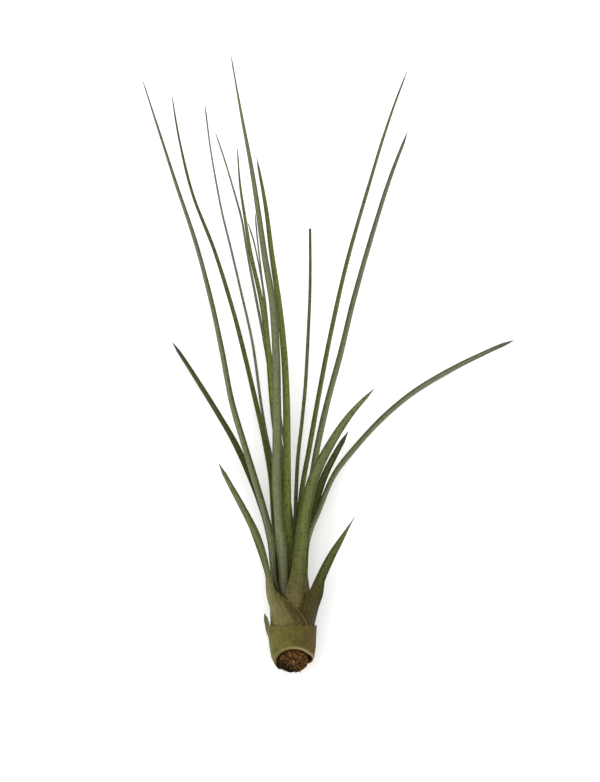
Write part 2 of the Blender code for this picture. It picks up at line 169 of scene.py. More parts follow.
# A leaf's finish: outside, in its channel, the record's slot for it and how much of its tip has dried (mm)
Skin = namedtuple("Skin", "material channel slot dry_tip")
SILVERY = Skin("silvery_leaf", "olive_channel", "silver_leaf", 12)
SILVER_SHEATH = Skin("silvery_sheath_leaf", "olive_channel", "silver_leaf", 10)
GREY = Skin("grey_leaf", "grey_channel", "silver_leaf", 30)
GREY_GREEN = Skin("dull_green_leaf", "olive_channel", "grey_green_leaf", 16)
BROAD = Skin("broad_leaf", "olive_channel", "grey_green_leaf", 8)
GREEN = Skin("fresh_green_leaf", "green_channel", "green_leaf", 16)
YELLOW_GREEN = Skin("yellow_green_leaf", "yellow_channel", "green_leaf", 12)
TALL_DARK = Skin("yellow_green_leaf", "yellow_channel", "olive_leaf", 14)
OLIVE = Skin("dark_olive_leaf", "dark_channel", "olive_leaf", 14)
BROKEN = Skin("dark_olive_leaf", "olive_channel", "olive_leaf", 6)
BROWN_FOOT = Skin("brown_footed_leaf", "dark_channel", "olive_leaf", 7)

# middle: where the sheath's middle lies round the stem, 0 right, 90 up, 180 left, 270 down (degrees)
# wrap: how far the sheath reaches to each side of it (degrees)
# width: the blade's width at its foot; taper: 1 narrows evenly to the tip, less keeps it wide for longer
# curl: how far each half of the blade is rolled (degrees); facing: where its back points (degrees)
# swing: how far the sheath's middle turns from foot to top (degrees)
# shoulder, neck: where the sheath starts to narrow and where it is as narrow as the blade
# leaves: where it leaves the stem; blunt: how much of the blade is missing at its tip, as a share
LEAF_FIELDS = "name layer middle wrap width taper curl facing sights skin swing shoulder neck leaves blunt"
Leaf = namedtuple("Leaf", LEAF_FIELDS, defaults=(0, 26.0, 45.0, 31.0, 0.0))

LEAVES = (
    Leaf("leaf_short_left", 0, 156, 73, 4.7, 0.28, 80, 130,
         ((-11.0, 23.3, 16.2), (-12.4, 34.5, 18.7), (-15.2, 45.5, 20), (-19.2, 56.7, 22),
          (-24.6, 67.4, 24), (-30.7, 78.7, 26.5), (-36.3, 89.4, 29)), SILVER_SHEATH, 31, 19.0, 46.0, 25.0),
    Leaf("leaf_short_right", 1, 49, 50, 5.3, 0.8, 70, 68,
         ((8.7, 18.4, 18.3), (10.4, 23.6, 18.5), (11.6, 27.5, 18.0), (13.4, 33.5, 17.2),
          (18.8, 44.6, 16.4), (22.8, 51.4, 16.4), (30.0, 63.4, 17.5)), BROWN_FOOT, 0, 14.0, 45.0, 18.0),
    Leaf("leaf_broad_front", 2, 83, 42, 7.4, 0.5, 62, 80,
         ((3.3, 42.1, 25.7), (4.9, 59.7, 28.2), (7.2, 72.3, 29), (10.4, 83.0, 31), (18.2, 98.0, 34.5),
          (28.1, 113.1, 38.5), (39.8, 126.1, 43)), BROAD, 0, 20.0, 50.0),
    Leaf("leaf_long_left", 1, 150, 28, 4.0, 0.48, 100, 140,
         ((-10.0, 38.0, 17.8), (-10.6, 49.9, 17.6), (-12.9, 61.1, 18.5), (-18.7, 81.1, 21),
          (-24.1, 99.6, 23.5), (-30.0, 120.0, 26), (-34.6, 142.9, 28.5), (-40.2, 168.7, 31),
          (-47.5, 196.5, 34), (-58.2, 227.7, 38), (-66.0, 252.0, 41), (-73.3, 275.9, 44)), GREY_GREEN),
    Leaf("leaf_low_left", 1, 216, 36, 4.8, 0.24, 75, 225,
         ((-9.9, 38.0, 6.4), (-11.0, 50.0, 5.4), (-14.5, 65.0, 5.2), (-20.4, 81.1, 5.8),
          (-28.2, 99.1, 6.2), (-36.3, 113.2, 4.9), (-44.1, 125.6, 2.0), (-52.4, 138.3, 0.6),
          (-59.2, 148.3, 0.3)), OLIVE),
    Leaf("leaf_tall_front", 3, 128, 26, 5.7, 0.65, 85, 100,
         ((-5.4, 42.1, 22.0), (-6.8, 59.7, 25.8), (-8.1, 78.7, 29), (-8.2, 95.7, 31.5), (-8.3, 117.6, 34.5),
          (-8.2, 142.9, 38), (-9.5, 165.8, 42), (-14.4, 193.1, 46.5), (-20.7, 233.0, 53), (-26.1, 263.2, 58),
          (-30.5, 287.8, 62)), SILVERY),
    Leaf("leaf_arching_right", 2, -14, 25, 3.5, 0.15, 90, 30,
         ((7.4, 28.3, 11.6), (6.4, 38.0, 12.2), (6.5, 47.0, 13.0), (8.2, 56.0, 13.2), (12.2, 66.0, 13),
          (19.7, 83.0, 12.5), (29.5, 95.7, 11), (44.1, 111.8, 8.5), (59.5, 124.9, 5.0), (77.4, 135.6, 2.0),
          (96.2, 144.4, 0.7), (107.4, 149.0, 0.7)), GREY_GREEN, 0, 20.0, 38.0),
    Leaf("leaf_tall_dark", 4, 102, 26, 4.4, 0.35, 95, 70,
         ((-2.7, 49.4, 20), (-3.1, 66.0, 21.5), (-3.1, 90.8, 24), (-3.4, 117.6, 27), (-4.4, 142.9, 30),
          (-6.6, 165.8, 33), (-10.9, 193.1, 37), (-13.9, 214.0, 40), (-18.3, 238.4, 44)), TALL_DARK),
    Leaf("leaf_long_right_front", 3, 40, 28, 3.8, 0.25, 100, 40,
         ((5.0, 48.0, 19), (6.2, 62.0, 19.5), (8.5, 78.0, 20.5), (10.2, 88.4, 21.5), (11.9, 97.6, 22.5),
          (17.0, 120.0, 24.5), (22.9, 142.4, 27), (29.3, 168.7, 30), (43.4, 217.4, 37), (48.2, 232.1, 39.5),
          (55.5, 251.0, 43)), GREY_GREEN),
    Leaf("leaf_short_dark", 3, 307, 16, 5.9, 0.28, 70, 300,
         ((4.9, 44.0, 5.0), (6.9, 57.0, 5.2), (9.3, 65.0, 7), (11.0, 71.3, 7.2), (15.1, 83.0, 7.8),
          (20.2, 93.3, 8.8), (26.8, 104.9, 10)), OLIVE),
    Leaf("leaf_long_left_back", 3, 200, 32, 3.5, 0.4, 100, 215,
         ((-8.2, 45.0, 9.5), (-9.6, 62.0, 9.3), (-11.0, 82.5, 9), (-13.9, 99.1, 9), (-18.7, 120.0, 9.5),
          (-26.1, 151.2, 11), (-30.9, 168.7, 12.5), (-38.7, 193.1, 15), (-48.9, 219.9, 18.5),
          (-55.3, 246.7, 22), (-59.2, 269.1, 26)), GREEN),
    Leaf("leaf_thin_left", 3, 259, 23, 1.6, 0.28, 100, 250,
         ((-5.5, 45.0, 4), (-7.6, 62.0, 3.6), (-9.3, 78.0, 3.2), (-10.5, 92.8, 3), (-12.9, 104.0, 3),
          (-15.8, 120.0, 3), (-20.2, 147.8, 3.2), (-25.1, 170.2, 4), (-30.4, 193.6, 5), (-35.3, 213.5, 6.5),
          (-40.2, 240.3, 9), (-42.9, 264.0, 12)), GREY),
    Leaf("leaf_long_right", 4, 2, 32, 3.2, 0.33, 100, 35,
         ((1.8, 50.0, 13), (2.4, 62.0, 13), (4.4, 78.2, 13.5), (7.5, 95.7, 14.5), (11.9, 120.0, 16),
          (18.7, 153.6, 18.5), (27.5, 193.1, 22), (39.9, 235.5, 27), (48.2, 260.8, 30.5),
          (55.5, 280.5, 33.5)), GREEN, 0, 22.0, 40.0),
    Leaf("leaf_broken_tip", 4, 286, 24, 2.05, 0.2, 100, 285,
         ((-0.4, 49.4, 7), (0.7, 59.7, 7), (2.2, 91.8, 7.5), (4.1, 110.3, 8), (6.1, 131.7, 8.8),
          (7.8, 168.7, 10.5), (7.8, 203.3, 13)), BROKEN, 0, 26.0, 45.0, 31.0, 0.12),
    Leaf("leaf_green_inner", 5, 195, 24, 3.9, 0.5, 100, 250,
         ((-4.9, 48.0, 12.3), (-5.9, 65.0, 12.9), (-7.0, 90.0, 14.5), (-9.5, 115.0, 15.5),
          (-11.0, 132.7, 16.5), (-11.9, 142.9, 17), (-15.3, 165.8, 18.5), (-20.8, 190.7, 20.5),
          (-23.9, 210.6, 22.5), (-26.1, 225.7, 24), (-27.5, 242.8, 26)), YELLOW_GREEN),
    Leaf("leaf_thin_inner_left", 4, 236, 22, 2.0, 0.3, 100, 230,
         ((-5.0, 52.0, 9), (-6.8, 90.0, 9.5), (-10.5, 125.0, 10), (-14.5, 150.0, 11), (-18.6, 172.0, 12),
          (-22.4, 193.1, 13.5), (-25.1, 208.2, 15), (-29.2, 222.3, 17), (-33.8, 236.9, 19),
          (-38.5, 250.6, 21.5)), GREY),
    Leaf("leaf_thin_inner_grey", 5, 266, 22, 1.35, 0.35, 100, 270,
         ((-2.8, 52.0, 8.6), (-5.0, 90.0, 11.4), (-8.5, 120.0, 12), (-12.0, 150.0, 13), (-13.9, 167.0, 14.5),
          (-15.6, 178.5, 15.5), (-17.5, 196.5, 17), (-18.5, 211.1, 18.5)), GREY),
    Leaf("leaf_faint_inner", 6, 320, 22, 1.3, 0.35, 100, 280,
         ((0.3, 52.0, 9.8), (-3.2, 85.0, 7), (-7.0, 115.0, 7), (-11.0, 143.0, 7), (-13.4, 159.0, 7.4),
          (-14.9, 173.6, 8), (-17.4, 188.2, 9), (-19.4, 197.5, 10), (-22.2, 206.7, 11)), GREY),
    Leaf("leaf_pale_inner", 5, 134, 20, 2.2, 0.5, 100, 130,
         ((-5.0, 50.0, 17.0), (-6.8, 65.0, 18.4), (-8.0, 81.1, 20), (-8.5, 105.4, 22.5), (-8.8, 124.9, 24.5),
          (-9.5, 139.5, 26), (-10.5, 151.7, 27.5), (-11.4, 162.4, 29), (-12.9, 175.1, 31),
          (-14.9, 190.7, 33.5)), SILVERY),
)

# Sheaths whose blades have gone, or have left a stub. feet: where the two ends of the lower edge lie along
# the stem; torn_edge: where the upper edge lies, at even steps round it; stands_off: how far off the bulb
OldSheath = namedtuple("OldSheath", "name layer middle wrap feet torn_edge stands_off material slot")
FLUSH = (0,) * 12
OLD_SHEATHS = (
    OldSheath("old_sheath_right", 0, -12, 61, (1.0, 5.6), (17, 18.5, 19.2, 19.4, 19.4, 19.5, 20, 20, 19),
              (0, 0.1, 0.2, 0.2, 0.1, 0, 0, 0, 0), "dry_brown_sheath", "dry_sheath"),
    OldSheath("old_sheath_under", 0, 252, 33, (5.6, 1.0), (27, 29, 31, 33, 30, 29), FLUSH,
              "dry_brown_sheath", "dry_sheath"),
    OldSheath("leaf_stub_left", -1, 126, 96, (1.0, 1.0),
              (12.8, 16, 22, 26, 19, 18, 18, 18, 18, 18.3, 18.6, 18.9),
              (0.3, 1.1, 1.9, 1.7, 0.5, 0, 0, 0, 0, 0, 0, 0), "dying_sheath", "olive_leaf"),
)
OLD_WALL = 0.45
OLD_COLUMNS = 72
OLD_RINGS = 36
# The torn edge's fine fray, and the size of its two waves, whose pace is drawn at random between two values
TEAR = 0.25
WAVE = 0.45
SLOW_WAVE = (4, 7)
QUICK_WAVE = (10, 15)
WAVE_START = (0, 6)
COLUMNS_PER_WAVE = 9
# The outermost sheath is paper thin. It hugs the bulb, but not where it lifts off past its foot.
PAPER_WALL = 0.3
PAPER_SNUG = 0.75
LIFTING = (13, 18)
# How thick its wall is towards the torn edge, as a share, and how much of its foot is its pale rim
EDGE_THINNING = 1.15
THINNEST = 0.3
RIM_SHARE = 0.12


def ease(value, start, end):
    """0 before start, 1 after end, and a smooth rise between."""
    share = min(max((value - start) / (end - start), 0.0), 1.0)
    return share * share * (3 - 2 * share)


def ease_all(values, start, end):
    """The same rise for an array."""
    shares = np.clip((values - start) / (end - start), 0, 1)
    return shares * shares * (3 - 2 * shares)


def mix(a, b, share):
    return a + (b - a) * share


def outline_at(outline, distance):
    """The radius that an outline of (distance, radius) points has at a distance."""
    for (d0, r0), (d1, r1) in zip(outline, outline[1:]):
        if distance <= d1:
            return mix(r0, r1, max(distance - d0, 0.0) / (d1 - d0))
    return outline[-1][1]


def stem_line(distance):
    """(point, direction, upward normal) of the stem's centre line."""
    bent = min(distance, BEND_LENGTH)
    slope = ROOT_END_SLOPE + bent / BEND_RADIUS
    along = Vector((0.0, math.cos(slope), math.sin(slope)))
    up = Vector((0.0, -math.sin(slope), math.cos(slope)))
    y = BEND_RADIUS * (math.sin(slope) - math.sin(ROOT_END_SLOPE))
    z = BEND_RADIUS * (math.cos(ROOT_END_SLOPE) - math.cos(slope))
    return ROOT_END + Vector((0.0, y, z)) + along * (distance - bent), along, up


def outward(angle, up):
    """The direction at an angle round the stem, in degrees."""
    turn = math.radians(angle)
    return SHEET_RIGHT * math.cos(turn) + up * math.sin(turn)


def layer_radius(layer, distance):
    return outline_at(BULB_OUTLINE, distance) - layer * LAYER_STEP


def round_stem(distance, angle, radius):
    """The point at a distance along the stem, an angle round it and a radius from it."""
    centre, _, up = stem_line(distance)
    return centre + outward(angle, up) * radius


def sighted(side, up, height):
    """The point at a height above the table that the eye sees at a place on the sheet."""
    on_sheet = SHEET_ZERO + SHEET_RIGHT * side + SHEET_UP * up
    share = (height - EYE.z) / (on_sheet.z - EYE.z)
    return EYE + (on_sheet - EYE) * share


def along_curve(rows, lengths, distance):
    """The row at a distance along a smooth curve through the given rows, which are equal lists of numbers."""
    i = 0
    while i < len(lengths) - 2 and distance > lengths[i + 1]:
        i += 1
    span = lengths[i + 1] - lengths[i]
    t = (distance - lengths[i]) / span
    p1, p2 = rows[i], rows[i + 1]
    out = []
    for k, (a, b) in enumerate(zip(p1, p2)):
        before = (b - a) / span if i == 0 else (b - rows[i - 1][k]) / (lengths[i + 1] - lengths[i - 1])
        last = i + 2 >= len(rows)
        after = (b - a) / span if last else (rows[i + 2][k] - a) / (lengths[i + 2] - lengths[i])
        t2, t3 = t * t, t * t * t
        value = (2 * t3 - 3 * t2 + 1) * a + (t3 - 2 * t2 + t) * span * before
        value += (3 * t2 - 2 * t3) * b + (t3 - t2) * span * after
        out.append(value)
    return out


def sheath_stops(layer, leaves):
    return [stop for stop in SHEATH_STOPS if LAYER_FEET[layer] <= stop <= leaves]


def leaf_rows(leaf):
    """(rows, lengths): the points and outward directions that a leaf's middle line passes, and how far on."""
    rows = []
    lengths = sheath_stops(leaf.layer, leaf.leaves)
    for distance in lengths:
        _, _, up = stem_line(distance)
        middle = leaf.middle - leaf.swing * (1 - ease(distance, *SWINGING))
        rows.append([*round_stem(distance, middle, layer_radius(leaf.layer, distance)), *outward(middle, up)])
    for i, sight in enumerate(leaf.sights):
        turned = mix(leaf.middle, leaf.facing, ease(i, 0, 3))
        rows.append([*sighted(*sight), *outward(turned, up)])
        lengths.append(lengths[-1] + math.dist(rows[-1][:3], rows[-2][:3]))
    return rows, lengths


def leaf_section(leaf, distance, length):
    """(curl radius, half angle) of a leaf's cross-section at a distance from the broken end."""
    sheath_radius = layer_radius(leaf.layer, distance)
    gone = min(max((distance - BLADE_FOOT) / (length - BLADE_FOOT), 0.0), 1.0)
    width = leaf.width * (1 - gone * (1 - leaf.blunt)) ** leaf.taper
    half_curl = math.radians(leaf.curl)
    curl_radius = max(width / 2 / math.sin(min(half_curl, math.pi / 2)), NEEDLE_RADIUS)
    left = (length - distance) / POINT_LENGTH
    if left < 1 and not leaf.blunt:
        curl_radius = mix(TIP_RADIUS, curl_radius, left ** 0.7)
    curled = ease(distance, *CURLING)
    radius = mix(sheath_radius, curl_radius, curled)
    half_arc = mix(width / 2, curl_radius * half_curl, curled)
    spread = sheath_radius * math.radians(leaf.wrap)
    half_arc = mix(spread, half_arc, ease(distance, leaf.shoulder, leaf.neck))
    return radius, half_arc / radius


def seen_middle(radius, half_angle, back, side, across):
    """How far across the line of sight the middle of a leaf's arc, as the eye sees it, lies from its back."""
    seen = []
    for i in range(SIGHT_STEPS + 1):
        turn = mix(-half_angle, half_angle, i / SIGHT_STEPS)
        seen.append((back * (math.cos(turn) - 1) + side * math.sin(turn)).dot(across) * radius)
    return (min(seen) + max(seen)) / 2


def own(name, skin_slot, *nodes):
    """The active object, under its name, riding the plant and standing for its solids."""
    piece = bpy.context.object
    piece.name = name
    piece.data.name = name
    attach(piece, "root")
    if nodes:
        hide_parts(*nodes)
    return piece


def add_grid(columns, rings):
    """A flat grid with its own UV map, and each point's share across and along it."""
    bpy.ops.object.select_all(action="DESELECT")
    bpy.ops.mesh.primitive_grid_add(x_subdivisions=columns, y_subdivisions=rings, size=1, location=(0, 0, 0))
    mesh = bpy.context.object.data
    flat = np.empty(len(mesh.vertices) * 3, np.float32)
    mesh.vertices.foreach_get("co", flat)
    flat = flat.reshape(-1, 3)
    return mesh, flat[:, 0] + 0.5, flat[:, 1] + 0.5


def paint(mesh, name, values):
    """A value for each point, for the materials to read."""
    mesh.attributes.new(name, "FLOAT", "POINT").data.foreach_set("value", np.asarray(values, np.float32))


def set_surface_map(mesh, across, along):
    """Makes the UV map say where each point lies on the leaf, in millimetres across and along."""
    corners = np.empty(len(mesh.loops), np.int32)
    mesh.loops.foreach_get("vertex_index", corners)
    places = np.stack((across[corners], along[corners]), 1)
    mesh.uv_layers[0].name = "surface"
    mesh.uv_layers["surface"].data.foreach_set("uv", places.astype(np.float32).ravel())


def thicken(piece, wall, shares, inside):
    """Gives a sheet its wall, inwards and thinner where its shares are less, with another material inside."""
    group = piece.vertex_groups.new(name="wall")
    for i, share in enumerate(shares):
        group.add([i], float(share), "REPLACE")
    solidify = piece.modifiers.new("wall", "SOLIDIFY")
    solidify.thickness = wall * MM
    solidify.offset = -1
    solidify.vertex_group = "wall"
    solidify.thickness_vertex_group = 0.02
    solidify.material_offset = 1
    piece.data.materials.append(bpy.data.materials[inside])
    bpy.ops.object.modifier_apply(modifier="wall")
    piece.vertex_groups.clear()


def leaf_stops(leaf, lengths):
    """Distances along a leaf for its rings, closer together round the bulb and at the tip."""
    top = SHEATH_RINGS_END
    count = math.ceil((top - lengths[0]) / SHEATH_RING)
    stops = [mix(lengths[0], top, i / count) for i in range(count)]
    blade = lengths[-1] - POINT_LENGTH
    count = math.ceil((blade - top) / BLADE_RING)
    stops += [mix(top, blade, i / count) for i in range(count)]
    count = math.ceil(POINT_LENGTH / SHEATH_RING)
    return stops + [mix(blade, lengths[-1], i / count) for i in range(count + 1)]


def add_leaf(leaf):
    """One leaf, its sheath rolled round the stem and its blade a channel that closes towards the tip.

    No operator rolls a sheath into a channel along a free curve, so a grid's points are placed by rule.
    """
    rows, lengths = leaf_rows(leaf)
    foot, length = lengths[0], lengths[-1]
    stops = leaf_stops(leaf, lengths)
    columns = WIDE_COLUMNS if leaf.wrap > WIDE_WRAP else NARROW_COLUMNS
    mesh, across, along = add_grid(columns, len(stops) - 1)
    nth_ring = np.rint(along * (len(stops) - 1)).astype(int)
    turns = across * 2 - 1
    wild = random.Random(leaf.name)
    phase = [wild.uniform(0, math.tau) for _ in range(3)]
    points = np.empty((len(across), 3))
    side_place = np.empty(len(across))
    wall_share = np.empty(len(across))
    for i, stop in enumerate(stops):
        row = along_curve(rows, lengths, stop)
        ahead = Vector(along_curve(rows, lengths, min(stop + 0.5, length))[:3])
        behind = Vector(along_curve(rows, lengths, max(stop - 0.5, foot))[:3])
        direction = (ahead - behind).normalized()
        _, stem_along, _ = stem_line(stop)
        direction = stem_along.lerp(direction, ease(stop, *LEAVING_STEM)).normalized()
        back = Vector(row[3:])
        back = (back - direction * back.dot(direction)).normalized()
        side = direction.cross(back)
        radius, half_angle = leaf_section(leaf, stop, length)
        strays = [math.sin(stop / wave + start) for wave, start in zip(WAVER_LENGTHS, phase)]
        waver = ease(stop, *FREE) * WAVER * sum(strays)
        sway = math.sin(stop / MARGIN_WAVER_LENGTH + phase[2])
        half_angle *= 1 + MARGIN_WAVER * sway * ease(stop, *MARGIN_WAVERING)
        here = nth_ring == i
        turn = turns[here] * half_angle
        nerve = np.cos(across[here] * columns / COLUMNS_PER_NERVE * math.tau) * 0.5 - 0.5
        rib = NERVE_HEIGHT * min(1.0, radius / NERVE_RADIUS)
        reach = radius + nerve * rib * (1 - np.abs(turns[here]) ** NERVE_FADE)
        point = Vector(row[:3])
        over = direction.cross(EYE - point).normalized()
        point -= over * seen_middle(radius, half_angle, back, side, over) * ease(stop, *LEAVING_STEM)
        centre = np.array(point - back * radius + side * waver)
        ray = np.outer(np.cos(turn), back) + np.outer(np.sin(turn), side)
        points[here] = centre + ray * reach[:, None]
        side_place[here] = turn * radius
        wall = min(mix(SHEATH_WALL, BLADE_WALL, ease(stop, *CURLING)), radius * 0.7)
        margin = min(MARGIN_WALL, wall)
        thin = np.clip((1 - np.abs(turns[here])) / MARGIN_SHARE, 0, 1)
        wall_share[here] = (margin + (wall - margin) * thin * (2 - thin)) / SHEATH_WALL
    points[:, 2] = np.maximum(points[:, 2], 0.0)
    mesh.vertices.foreach_set("co", (points * MM).astype(np.float32).ravel())
    distance = np.array(stops)[nth_ring]
    set_surface_map(mesh, side_place, distance)
    dried = np.clip((distance - (length - leaf.skin.dry_tip)) / leaf.skin.dry_tip, 0, 1)
    paint(mesh, "dried", dried ** 1.5)
    sheath_end = SHEATH_COLOUR_END + SHEATH_COLOUR_STEP * leaf.layer
    paint(mesh, "sheath", 1 - np.clip((distance - sheath_end) / SHEATH_COLOUR_FADE, 0, 1))
    paint(mesh, "edge", np.abs(turns))
    paint(mesh, "outward", np.clip((distance - BLADE_FOOT) / (length - BLADE_FOOT), 0, 1))
    mesh.update()
    piece = own(leaf.name, leaf.skin.slot, leaf.name)
    mesh.materials.append(bpy.data.materials[leaf.skin.material])
    thicken(piece, SHEATH_WALL, wall_share, leaf.skin.channel)
    bpy.ops.object.shade_smooth()
    return piece


def add_old_sheath(old):
    """A papery sheath that still wraps part of the bulb, its upper edge torn and frayed."""
    mesh, across, along = add_grid(OLD_COLUMNS, OLD_RINGS)
    wild = random.Random(old.name)
    slow, quick, start = wild.uniform(*SLOW_WAVE), wild.uniform(*QUICK_WAVE), wild.uniform(*WAVE_START)
    frays = []
    for i in range(OLD_COLUMNS + 1):
        waves = math.sin(slow * i / COLUMNS_PER_WAVE + start) + math.sin(quick * i / COLUMNS_PER_WAVE)
        frays.append(wild.uniform(-TEAR, TEAR) + WAVE * waves)
    points = np.empty((len(across), 3))
    side_place = np.empty(len(across))
    distance = np.empty(len(across))
    last = len(old.torn_edge) - 1
    for i, (u, v) in enumerate(zip(across, along)):
        place = u * last
        j = min(int(place), last - 1)
        top = mix(old.torn_edge[j], old.torn_edge[j + 1], place - j) + frays[round(u * OLD_COLUMNS)]
        distance[i] = mix(mix(*old.feet, u), top, v)
        angle = old.middle + mix(old.wrap, -old.wrap, u)
        off = mix(old.stands_off[j], old.stands_off[j + 1], place - j)
        radius = layer_radius(old.layer, distance[i]) + off * v * v
        if old.layer < 0:
            radius -= PAPER_SNUG * (1 - ease(distance[i], *LIFTING) * min(off, 1.0))
        points[i] = round_stem(distance[i], angle, radius)
        side_place[i] = math.radians(angle) * radius
    points[:, 2] = np.maximum(points[:, 2], 0.0)
    mesh.vertices.foreach_set("co", (points * MM).astype(np.float32).ravel())
    set_surface_map(mesh, side_place, distance)
    paint(mesh, "dried", ease_all(-along, -RIM_SHARE, 0.0))
    mesh.update()
    piece = own(old.name, old.slot, old.name)
    mesh.materials.append(bpy.data.materials[old.material])
    wall = PAPER_WALL if old.layer < 0 else OLD_WALL
    thicken(piece, wall, np.clip(EDGE_THINNING - along, THINNEST, 1), "dry_inner_face")
    bpy.ops.object.shade_smooth()
    return piece


def stem_frame(distance):
    """Turns and moves a thing that faces +Z to face back along the stem, at a distance from its end."""
    point, along, up = stem_line(distance)
    turn = Matrix((SHEET_RIGHT, up, -along)).transposed().to_4x4()
    turn.col[0] = (*(-SHEET_RIGHT), 0)
    return Matrix.Translation(point * MM) @ turn


def add_stem():
    """The stem's core: a disc extruded along the bend, its broken end inset into a rim, a hollow and pith."""
    bpy.ops.object.select_all(action="DESELECT")
    tilt = math.pi / 2 + ROOT_END_SLOPE
    bpy.ops.mesh.primitive_circle_add(
        vertices=STEM_SIDES, radius=STEM_RADIUS * MM, fill_type="NGON",
        location=ROOT_END * MM, rotation=(tilt, 0, 0),
    )
    bpy.ops.object.transform_apply()
    bpy.ops.object.mode_set(mode="EDIT")
    bpy.ops.mesh.select_mode(type="FACE")
    bpy.ops.mesh.select_all(action="SELECT")
    for (d0, r0), (d1, r1) in zip(STEM_OUTLINE, STEM_OUTLINE[1:]):
        here, start, _ = stem_line(d0)
        there, end, _ = stem_line(d1)
        bpy.ops.mesh.extrude_region_move(TRANSFORM_OT_translate={"value": (there - here) * MM})
        turn = start.angle(end)
        bpy.ops.transform.rotate(value=-turn, orient_axis="X", center_override=there * MM)
        bpy.ops.transform.resize(value=(r1 / r0,) * 3, center_override=there * MM)
    bpy.ops.mesh.select_all(action="DESELECT")
    bpy.ops.object.mode_set(mode="OBJECT")
    mesh = bpy.context.object.data
    end_face = min(mesh.polygons, key=lambda face: (Vector(face.center) - ROOT_END * MM).length)
    end_face.select = True
    bpy.ops.object.mode_set(mode="EDIT")
    depth, radius = 0.0, STEM_RADIUS
    for ring_depth, ring_radius in BROKEN_END:
        bpy.ops.mesh.inset(thickness=(radius - ring_radius) * MM, depth=0)
        _, along, _ = stem_line(0.0)
        bpy.ops.transform.translate(value=along * (ring_depth - depth) * MM)
        depth, radius = ring_depth, ring_radius
    bpy.ops.mesh.select_all(action="SELECT")
    bpy.ops.mesh.normals_make_consistent(inside=False)
    bpy.ops.object.mode_set(mode="OBJECT")
    piece = own("stem", "broken_stem", "stem")
    broken = piece.vertex_groups.new(name="broken")
    for vertex in mesh.vertices:
        reach = (vertex.co / MM - ROOT_END).length
        broken.add([vertex.index], 1.0 if reach < STEM_RADIUS * 1.1 else 0.0, "REPLACE")
    finer = piece.modifiers.new("finer", "SUBSURF")
    finer.levels = finer.render_levels = 2
    bpy.ops.object.modifier_apply(modifier="finer")
    for grain, strength in CRUMBLE:
        texture = bpy.data.textures.new("crumble", "CLOUDS")
        texture.noise_scale = grain * MM
        texture.noise_depth = 3
        rough = piece.modifiers.new("rough", "DISPLACE")
        rough.texture = texture
        rough.strength = strength * MM
        rough.vertex_group = "broken"
        bpy.ops.object.modifier_apply(modifier="rough")
    piece.vertex_groups.clear()
    mesh.materials.append(bpy.data.materials["broken_stem_tissue"])
    bpy.ops.object.shade_smooth()


def add_strand():
    """One torn fibre: a bent, tapering thread that stands on its base."""
    bpy.ops.object.select_all(action="DESELECT")
    bpy.ops.mesh.primitive_circle_add(vertices=5, radius=STRAND_RADIUS * MM, fill_type="NGON")
    bpy.ops.object.mode_set(mode="EDIT")
    bpy.ops.mesh.select_all(action="SELECT")
    for step, share in enumerate(STRAND_TAPER):
        lean = STRAND_LEAN * step
        move = Vector((lean, 0, STRAND_STEP)) * MM
        bpy.ops.mesh.extrude_region_move(TRANSFORM_OT_translate={"value": move})
        bpy.ops.transform.resize(value=(share, share, 1))
    bpy.ops.mesh.select_all(action="SELECT")
    bpy.ops.mesh.normals_make_consistent(inside=False)
    bpy.ops.object.mode_set(mode="OBJECT")
    return bpy.context.object


def add_fibres():
    """The torn ends of the strands that ran through the stem, thickest in a ring between rim and pith."""
    strand = add_strand()
    wild = random.Random("fibres")
    copies = []
    for _ in range(FIBRE_COUNT):
        copy = bpy.data.objects.new("fibre", strand.data.copy())
        bpy.context.collection.objects.link(copy)
        angle = wild.uniform(0, math.tau)
        reach = FIBRE_REACH * math.sqrt(wild.uniform(0.02, 1))
        depth = outline_at(HOLLOW, reach)
        spot = Matrix.Translation(Vector((math.cos(angle) * reach, math.sin(angle) * reach, -depth)) * MM)
        heading = Matrix.Rotation(wild.uniform(0, math.tau), 4, "Z")
        lean = heading @ Matrix.Rotation(wild.uniform(0.1, 1.25), 4, "X")
        size = Matrix.Diagonal((wild.uniform(0.7, 1.5),) * 2 + (wild.uniform(0.5, 1.25), 1))
        copy.data.transform(stem_frame(0) @ spot @ lean @ size)
        copies.append(copy)
    bpy.data.objects.remove(strand)
    bpy.ops.object.select_all(action="DESELECT")
    for copy in copies:
        copy.select_set(True)
    bpy.context.view_layer.objects.active = copies[0]
    bpy.ops.object.join()
    piece = own("stem_fibres", "broken_stem")
    piece.data.materials.append(bpy.data.materials["torn_fibre"])
    bpy.ops.object.shade_smooth()


def linear(code):
    """An sRGB hex colour as the linear values that a shader takes."""
    values = [int(code[i : i + 2], 16) / 255 for i in (1, 3, 5)]
    return (*(v / 12.92 if v <= 0.04045 else ((v + 0.055) / 1.055) ** 2.4 for v in values), 1.0)


def add(tree, kind, settings, links=None):
    """A shader node of a kind, with its settings, and what its sockets are linked to."""
    node = tree.nodes.new(kind)
    for name, value in settings.items():
        if isinstance(name, int) or name in node.inputs:
            node.inputs[name].default_value = value
        else:
            setattr(node, name, value)
    for name, source in (links or {}).items():
        tree.links.new(source, node.inputs[name])
    return node


def new_finish(name, roughness):
    """A material and its shader, with what is the same all over it."""
    material = bpy.data.materials.new(name)
    material.use_nodes = True
    tree = material.node_tree
    shader = tree.nodes["Principled BSDF"]
    shader.inputs["Roughness"].default_value = roughness
    shader.inputs["IOR"].default_value = PLANT_IOR
    shader.inputs["Specular IOR Level"].default_value = PLANT_SPECULAR
    return tree, shader


